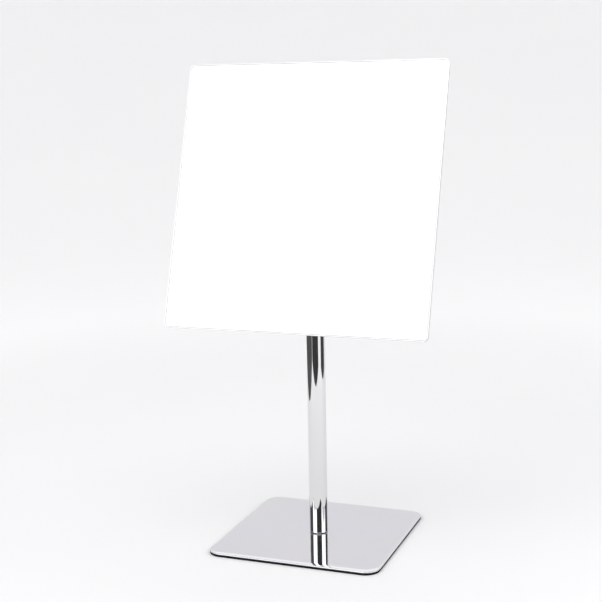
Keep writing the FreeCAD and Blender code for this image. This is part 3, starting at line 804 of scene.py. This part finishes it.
# ---------------------------------------------------------------- stage, lights and camera
FLOOR_RADIUS = 1.5
SWEEP_RADIUS = 1.2
SWEEP_STEPS = 24
WALL_HEIGHT = 3.2
GLOW_RISE = (0.105, 0.945)
FLOOR_GLOW = 0.02
SWEEP_GLOW = 0.27
WALL_GLOW = 0.20
CARD_GAP = 0.0005
SKIRT_TOP = 0.078
FLAG_FOOT = 0.125
FLAG_TOP = 0.30


def stage_material():
    material, tree, shader = new_material("studio_paper", (0.86, 0.86, 0.865), 0.0, 0.9)
    cloud = add_noise(tree, object_coordinates(tree), 3.0, 2.0)
    tint = mix_colours(tree, ramp(tree, cloud, 0, 1), (0.855, 0.855, 0.860), (0.870, 0.868, 0.872))
    tree.links.new(tint, shader.inputs["Base Color"])
    shader.inputs["Specular IOR Level"].default_value = 0.1
    # Painted light: the paper glows by its own emission, faint near the stand, brighter outwards over the table,
    # and a little less high on the wall.
    far = add_node(tree, "ShaderNodeVectorMath", operation="LENGTH")
    tree.links.new(object_coordinates(tree), far.inputs[0])
    rising = ramp(tree, far.outputs["Value"], FLOOR_GLOW, SWEEP_GLOW, *GLOW_RISE)
    wall = FLOOR_RADIUS + SWEEP_RADIUS
    falling = ramp(tree, far.outputs["Value"], 0, SWEEP_GLOW - WALL_GLOW, FLOOR_RADIUS, wall)
    glow = add_node(tree, "ShaderNodeMath", operation="SUBTRACT")
    tree.links.new(rising, glow.inputs[0])
    tree.links.new(falling, glow.inputs[1])
    tree.links.new(glow.outputs["Value"], shader.inputs["Emission Strength"])
    shader.inputs["Emission Color"].default_value = (1, 1, 1, 1)
    return material


def studio_bowl():
    """A seamless paper sweep that looks the same from every side."""
    path = [(0.02, 0), (0.3, 0), (0.8, 0), (FLOOR_RADIUS, 0)]
    for k in range(1, SWEEP_STEPS + 1):
        angle = math.pi / 2 * k / SWEEP_STEPS
        path.append((FLOOR_RADIUS + SWEEP_RADIUS * math.sin(angle), SWEEP_RADIUS * (1 - math.cos(angle))))
    path.append((FLOOR_RADIUS + SWEEP_RADIUS, WALL_HEIGHT))
    vertices, faces = loft(turned_rings(path, UPRIGHT, 96), True, False)
    mesh = bpy.data.meshes.new("studio_bowl")
    mesh.from_pydata(vertices, [], faces)
    for polygon in mesh.polygons:
        polygon.use_smooth = True
    mesh.materials.append(stage_material())
    bowl = bpy.data.objects.new("studio_bowl", mesh)
    bpy.context.scene.collection.objects.link(bowl)


def hidden_card(name, vertices, faces, material):
    """A stage mesh that only polished metal sees."""
    mesh = bpy.data.meshes.new(name)
    mesh.from_pydata(vertices, [], faces)
    mesh.materials.append(material)
    card = bpy.data.objects.new(name, mesh)
    bpy.context.scene.collection.objects.link(card)
    card.visible_camera = False
    card.visible_diffuse = False
    card.visible_shadow = False
    card.visible_transmission = False


def standing_card(name, azimuth, distance, span, heights, material):
    """An upright rectangle at a distance from the middle, given by its span across and its span of heights."""
    a = math.radians(azimuth)
    foot = Vector((math.sin(a), -math.cos(a), 0)) * distance
    along = Vector((math.cos(a), math.sin(a), 0))
    (left, right), (low, high) = span, heights
    corners = [(left, low), (right, low), (right, high), (left, high)]
    vertices = [foot + along * reach + Vector((0, 0, height)) for reach, height in corners]
    hidden_card(name, vertices, [(0, 1, 2, 3)], material)


def show_in_second_reflection(tree, shader):
    """Keep a card out of the first reflection, so that it shows only in the reflection of a reflection."""
    path = add_node(tree, "ShaderNodeLightPath")
    second = add_node(tree, "ShaderNodeMath", operation="GREATER_THAN")
    second.inputs[1].default_value = 1.5
    clear = add_node(tree, "ShaderNodeBsdfTransparent")
    either = add_node(tree, "ShaderNodeMixShader")
    tree.links.new(path.outputs["Glossy Depth"], second.inputs[0])
    tree.links.new(second.outputs["Value"], either.inputs[0])
    tree.links.new(clear.outputs["BSDF"], either.inputs[1])
    tree.links.new(shader.outputs["BSDF"], either.inputs[2])
    tree.links.new(either.outputs["Shader"], tree.nodes["Material Output"].inputs["Surface"])


def dark_card(name, azimuth, distance, skirt, flag, grey):
    """A black card on the table: a low skirt, and a flag above it that the base mirrors in the post."""
    material = new_material(f"{name}_skirt", (grey, grey, grey), 0.0, 1.0)[0]
    standing_card(f"{name}_skirt", azimuth, distance, skirt, (CARD_GAP, SKIRT_TOP), material)
    material, tree, shader = new_material(f"{name}_flag", (grey, grey, grey), 0.0, 1.0)
    show_in_second_reflection(tree, shader)
    standing_card(f"{name}_flag", azimuth, distance, flag, (FLAG_FOOT, FLAG_TOP), material)


def bright_card(name, azimuth, distance, span, heights, glow):
    """A card that glows white by its own emission, painted light with no lamp in it, which only polished metal
    shows.
    """
    material, _, shader = new_material(name, (0, 0, 0), 0.0, 1.0)
    shader.inputs["Emission Color"].default_value = (1, 1, 1, 1)
    shader.inputs["Emission Strength"].default_value = glow
    standing_card(name, azimuth, distance, span, heights, material)


def area_light(name, azimuth, elevation, distance, width, height, power):
    """A soft box that faces the middle of the stand."""
    aim = (cad_low + cad_high) / 2
    a, e = math.radians(azimuth), math.radians(elevation)
    back = Vector((math.sin(a) * math.cos(e), -math.cos(a) * math.cos(e), math.sin(e)))
    light = bpy.data.lights.new(name, "AREA")
    light.shape = "RECTANGLE"
    light.size, light.size_y = width, height
    light.energy = power
    lamp = bpy.data.objects.new(name, light)
    lamp.location = aim + back * distance
    lamp.rotation_mode = "QUATERNION"
    lamp.rotation_quaternion = (-back).to_track_quat("-Z", "Y")
    bpy.context.scene.collection.objects.link(lamp)


FLOOR_LIGHT_SIZE = 0.25
FLOOR_LIGHT_HEIGHT = 0.32


def floor_light(name, azimuth, distance, power):
    """A small lamp over the table that brightens one patch of it and shows in no reflection."""
    a = math.radians(azimuth)
    light = bpy.data.lights.new(name, "AREA")
    light.shape = "DISK"
    light.size = FLOOR_LIGHT_SIZE
    light.energy = power
    lamp = bpy.data.objects.new(name, light)
    lamp.location = (distance * math.sin(a), -distance * math.cos(a), FLOOR_LIGHT_HEIGHT)
    lamp.visible_glossy = False
    bpy.context.scene.collection.objects.link(lamp)


VIEW_AZIMUTH = 20.70
VIEW_ELEVATION = 10.07
VIEW_ROLL = -1.09
VIEW_DISTANCE = 0.9066
VIEW_AIM = Vector((-0.00976, -0.00369, 0.18318))
LENS = 72.74


def camera():
    a, e, roll = (math.radians(v) for v in (VIEW_AZIMUTH, VIEW_ELEVATION, VIEW_ROLL))
    back = Vector((math.sin(a) * math.cos(e), -math.cos(a) * math.cos(e), math.sin(e)))
    right = Vector((math.cos(a), math.sin(a), 0))
    up = back.cross(right)
    rolled_right = right * math.cos(roll) + up * math.sin(roll)
    rolled_up = up * math.cos(roll) - right * math.sin(roll)
    lens = bpy.data.cameras.new("camera")
    lens.lens = LENS
    lens.sensor_width = 36
    lens.clip_start, lens.clip_end = 0.01, 50
    eye = bpy.data.objects.new("camera", lens)
    turn = Matrix((rolled_right, rolled_up, back)).transposed()
    eye.matrix_world = Matrix.Translation(VIEW_AIM + back * VIEW_DISTANCE) @ turn.to_4x4()
    bpy.context.scene.collection.objects.link(eye)
    bpy.context.scene.camera = eye


studio_bowl()
bright_card("bright_card_back", VIEW_AZIMUTH + 180, 1.2, (-0.9, 0.9), (0.60, 1.9), 1.15)
dark_card("dark_card_front", VIEW_AZIMUTH - 8, 0.48, (-0.37, 0.34), (-0.143, 0.49), 0.04)
dark_card("dark_card_left", VIEW_AZIMUTH - 98, 0.41, (-0.66, 0.48), (-0.277, 0.191), 0.09)
dark_card("dark_card_right", VIEW_AZIMUTH + 88, 0.51, (-0.27, 0.27), (0.0, 0.52), 0.05)
area_light("soft_box_left", -28, 30, 1.2, 1.15, 0.8, 4.0)
area_light("soft_box_right", 87, 24, 1.2, 1.36, 0.5, 2.7)
area_light("soft_box_top", 14, 60, 1.6, 1.5, 1.2, 6.5)
floor_light("floor_light_right", VIEW_AZIMUTH + 60, 0.42, 0.09)
floor_light("floor_light_back", VIEW_AZIMUTH + 175, 0.20, 0.17)
camera()

world = bpy.data.worlds.new("world")
bpy.context.scene.world = world
world.use_nodes = True
world.node_tree.nodes["Background"].inputs["Color"].default_value = (0.98, 0.985, 1.0, 1)
world.node_tree.nodes["Background"].inputs["Strength"].default_value = 0.42
bpy.context.scene.view_settings.view_transform = "Standard"
